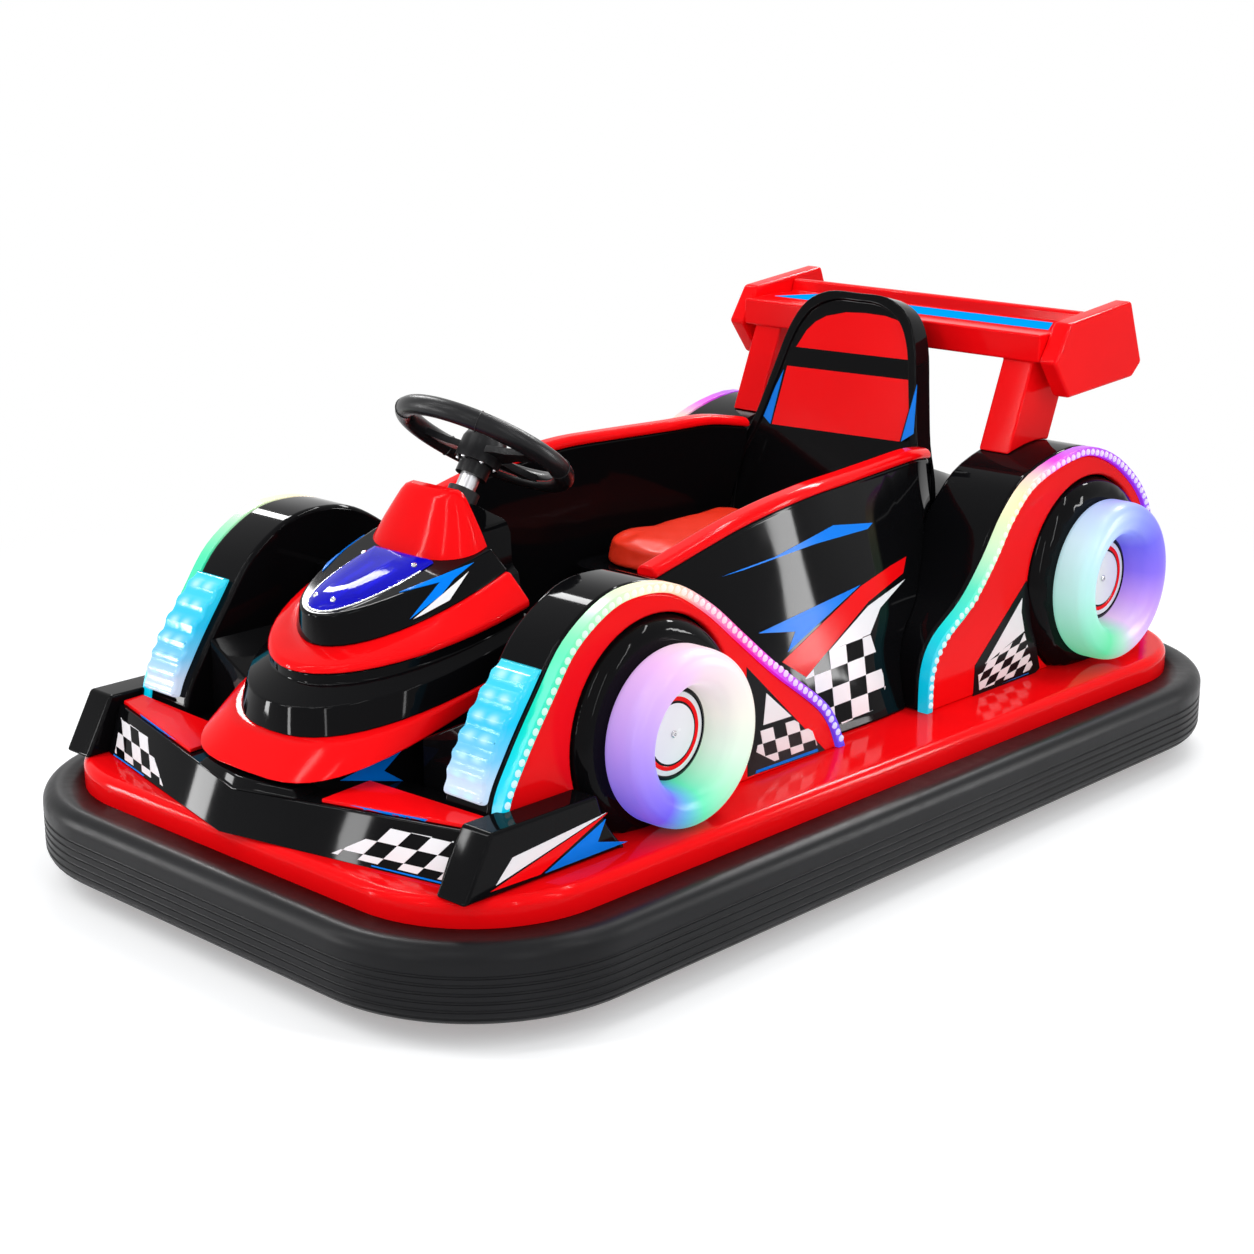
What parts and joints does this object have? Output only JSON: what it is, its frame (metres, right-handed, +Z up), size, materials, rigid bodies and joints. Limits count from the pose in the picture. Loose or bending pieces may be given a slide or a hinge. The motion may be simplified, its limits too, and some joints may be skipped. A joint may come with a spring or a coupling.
{
  "type": "bumper car",
  "caption": "Battery bumper car with a rubber ring bumper, racing-style bodywork, light-up wheel rings, single seat, steering wheel and rear wing.",
  "frame": {"origin": "on the floor, below the middle of the bumper", "axes": "+Z up, the car drives towards -Y, and its left side is +X"},
  "size_m": [1.1, 1.88, 0.7766],
  "materials": {
    "red_gloss": "gloss",
    "black_gloss": "gloss",
    "bumper_rubber": "matte",
    "floor_plastic": "matte",
    "frame_paint": "satin",
    "battery_case": "matte",
    "axle_steel": "satin",
    "wheel_rubber": "matte",
    "motor_alloy": "satin",
    "dome_blue": "gloss",
    "wheel_grip": "satin",
    "pedal_steel": "satin",
    "led_white": "gloss",
    "lamp_ice": "gloss",
    "disc_black": "gloss",
    "ring_white": "gloss",
    "cap_white": "gloss",
    "seat_cover": "satin"
  },
  "bodies": {
    "body": {"bumper_ring": "bumper_rubber", "hull": "red_gloss", "floor_pan": "floor_plastic", "chassis_frame": "frame_paint", "battery_block": "battery_case", "rear_axle": "axle_steel", "front_wing": "black_gloss", "wing_tops": "red_gloss", "endplate_left": "black_gloss", "endplate_right": "black_gloss", "nose_foot": "black_gloss", "nose_base": "red_gloss", "nose_band": "black_gloss", "nose_collar": "red_gloss", "nose_tier": "black_gloss", "lamp_dome": "dome_blue", "nose_braces": "black_gloss", "dash_cowl": "red_gloss", "dash_panel": "black_gloss", "column_bush": "floor_plastic", "pedal": "pedal_steel", "fender_front_left": "black_gloss", "fender_front_right": "black_gloss", "fender_rear_left": "black_gloss", "fender_rear_right": "black_gloss", "fender_faces": "red_gloss", "led_strips": "led_white", "front_lamps": "lamp_ice", "tyre_discs": "disc_black", "light_rings": "ring_white", "hub_caps": "cap_white", "side_pod_left": "black_gloss", "side_pod_right": "black_gloss", "rim_trims": "red_gloss", "seat_shell": "black_gloss", "seat_cushion": "seat_cover", "rear_deck": "black_gloss", "rear_wing": "red_gloss", "wing_endplates": "red_gloss"},
    "steering": {"steering_wheel": "wheel_grip", "steering_shaft": "axle_steel"},
    "fork": {"steer_fork": "frame_paint", "drive_motor": "motor_alloy"},
    "drive_wheel": {"drive_wheel": "wheel_rubber"},
    "rear_left": {"rear_wheel_left": "wheel_rubber"},
    "rear_right": {"rear_wheel_right": "wheel_rubber"}
  },
  "joints": [
    {"name": "fork_turn", "type": "hinge", "parent": "body", "child": "fork", "pos_m": [0, -0.62, 0.08], "axis": [0, 0, 1], "range_deg": [-55, 55]},
    {"name": "steering_turn", "type": "hinge", "parent": "body", "child": "steering", "pos_m": [0, -0.389, 0.643], "axis": [0, 0.5592, 0.829], "range_deg": [-55, 55]},
    {"name": "drive_spin", "type": "hinge", "parent": "fork", "child": "drive_wheel", "pos_m": [0, -0.62, 0.08], "axis": [1, 0, 0], "continuous": true},
    {"name": "rear_left_spin", "type": "hinge", "parent": "body", "child": "rear_left", "pos_m": [0.335, 0.48, 0.08], "axis": [1, 0, 0], "continuous": true},
    {"name": "rear_right_spin", "type": "hinge", "parent": "body", "child": "rear_right", "pos_m": [-0.335, 0.48, 0.08], "axis": [1, 0, 0], "continuous": true}
  ],
  "couplings": [
    {"joint": "steering_turn", "follows": "fork_turn", "ratio": 1}
  ]
}
